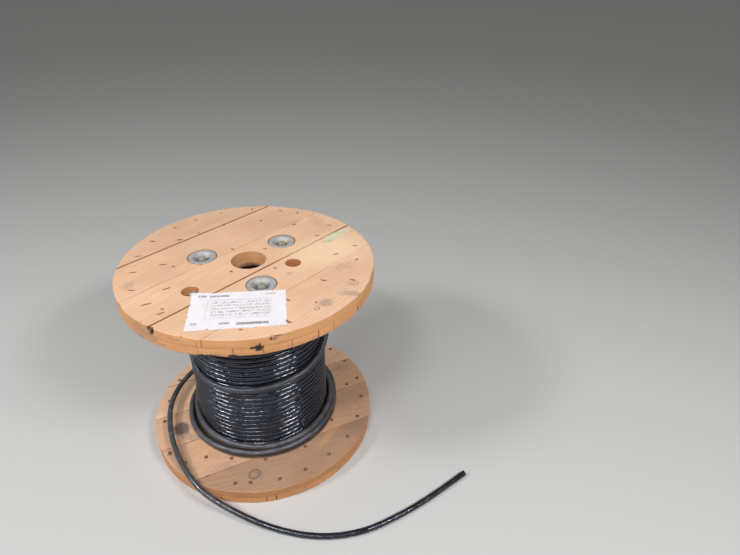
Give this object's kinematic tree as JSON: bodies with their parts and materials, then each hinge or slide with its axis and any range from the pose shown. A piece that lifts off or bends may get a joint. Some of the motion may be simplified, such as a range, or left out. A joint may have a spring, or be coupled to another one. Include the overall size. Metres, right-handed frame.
{
  "type": "wooden cable drum",
  "caption": "Wooden cable drum standing on end: crossed-plank flanges bolted over a stave core, wound with black cable whose free end trails along the floor.",
  "frame": {"origin": "centre of the bottom flange's underside, where the drum stands", "axes": "+Z is the drum's axis, from the bottom flange to the top one; the outer planks of the top flange run along X"},
  "size_m": [0.5082, 0.7291, 0.436],
  "materials": {
    "flange_wood": "rough sawn softwood",
    "core_wood": "rough sawn softwood",
    "galvanised_steel": "galvanised, dull",
    "bolt_steel": "zinc plated, dull",
    "cable_jacket": "glossy black jacket"
  },
  "bodies": {
    "root": {"bottom_dished_washer_1": "galvanised_steel", "bottom_dished_washer_2": "galvanised_steel", "bottom_dished_washer_3": "galvanised_steel", "bottom_inner_board_1": "flange_wood", "bottom_inner_board_2": "flange_wood", "bottom_inner_board_3": "flange_wood", "bottom_inner_board_4": "flange_wood", "bottom_inner_board_5": "flange_wood", "bottom_outer_board_1": "flange_wood", "bottom_outer_board_2": "flange_wood", "bottom_outer_board_3": "flange_wood", "bottom_outer_board_4": "flange_wood", "bottom_outer_board_5": "flange_wood", "bottom_outer_board_6": "flange_wood", "cable_crossing_turn": "cable_jacket", "cable_loose_turns": "cable_jacket", "cable_tail": "cable_jacket", "cable_winding": "cable_jacket", "core_staves": "core_wood", "tie_bolt_1": "bolt_steel", "tie_bolt_2": "bolt_steel", "tie_bolt_3": "bolt_steel", "tie_nut_1": "bolt_steel", "tie_nut_2": "bolt_steel", "tie_nut_3": "bolt_steel", "top_dished_washer_1": "galvanised_steel", "top_dished_washer_2": "galvanised_steel", "top_dished_washer_3": "galvanised_steel", "top_inner_board_1": "flange_wood", "top_inner_board_2": "flange_wood", "top_inner_board_3": "flange_wood", "top_inner_board_4": "flange_wood", "top_inner_board_5": "flange_wood", "top_inner_board_6": "flange_wood", "top_outer_board_1": "flange_wood", "top_outer_board_2": "flange_wood", "top_outer_board_3": "flange_wood", "top_outer_board_4": "flange_wood", "top_outer_board_5": "flange_wood"}
  },
  "joints": []
}
